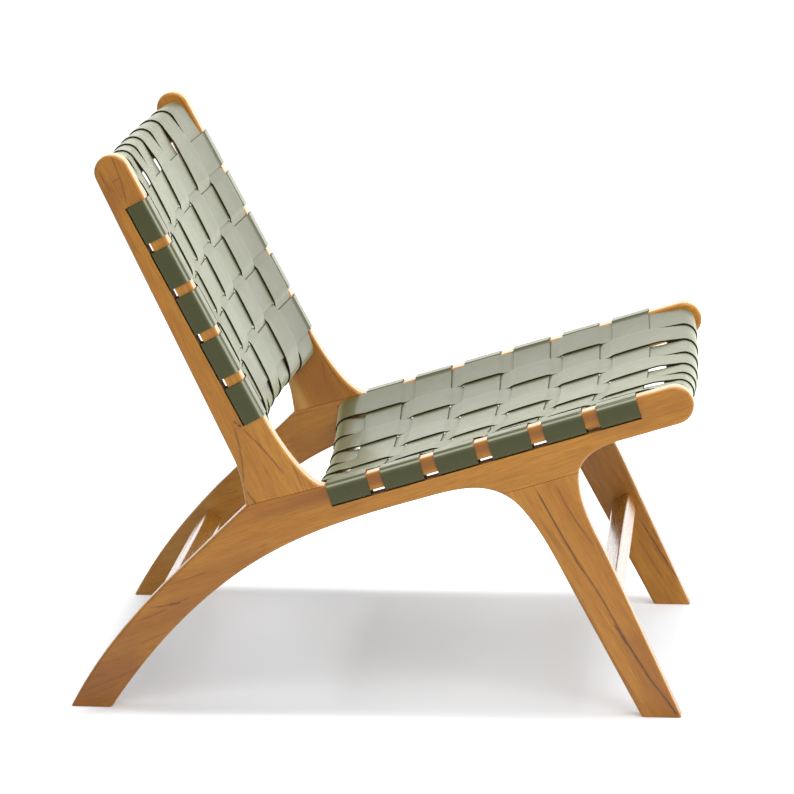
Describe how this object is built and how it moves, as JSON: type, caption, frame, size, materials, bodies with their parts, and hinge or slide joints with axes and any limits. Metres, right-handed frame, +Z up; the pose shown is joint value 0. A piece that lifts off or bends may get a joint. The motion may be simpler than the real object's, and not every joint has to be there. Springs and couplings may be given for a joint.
{
  "type": "woven strap lounge chair",
  "caption": "Armless teak lounge chair: flat curved side frames joined by bowed rails, with a low sloping seat and raked back woven from wide leather straps.",
  "frame": {"origin": "on the floor under the middle of the chair's bounding box", "axes": "+Z up, the chair faces -Y, +X is the sitter's left"},
  "size_m": [0.6554, 0.7818, 0.703],
  "materials": {
    "teak": "satin oiled",
    "strap_leather": "smooth semi-matt"
  },
  "bodies": {
    "root": {"left_side_rail": "teak", "left_back_post": "teak", "left_front_leg": "teak", "right_side_rail": "teak", "right_back_post": "teak", "right_front_leg": "teak", "seat_rear_rail": "teak", "seat_front_rail": "teak", "back_top_rail": "teak", "back_bottom_rail": "teak", "front_stretcher": "teak", "rear_stretcher": "teak", "left_post_tenon": "teak", "left_leg_tenon": "teak", "right_post_tenon": "teak", "right_leg_tenon": "teak", "seat_long_strap_1": "strap_leather", "seat_long_strap_2": "strap_leather", "seat_long_strap_3": "strap_leather", "seat_long_strap_4": "strap_leather", "seat_long_strap_5": "strap_leather", "seat_long_strap_6": "strap_leather", "seat_long_strap_7": "strap_leather", "seat_long_strap_8": "strap_leather", "back_long_strap_1": "strap_leather", "back_long_strap_2": "strap_leather", "back_long_strap_3": "strap_leather", "back_long_strap_4": "strap_leather", "back_long_strap_5": "strap_leather", "back_long_strap_6": "strap_leather", "back_long_strap_7": "strap_leather", "back_long_strap_8": "strap_leather", "seat_cross_strap_1": "strap_leather", "seat_cross_strap_2": "strap_leather", "seat_cross_strap_3": "strap_leather", "seat_cross_strap_4": "strap_leather", "seat_cross_strap_5": "strap_leather", "seat_cross_strap_6": "strap_leather", "back_cross_strap_1": "strap_leather", "back_cross_strap_2": "strap_leather", "back_cross_strap_3": "strap_leather", "back_cross_strap_4": "strap_leather", "back_cross_strap_5": "strap_leather"}
  },
  "joints": []
}
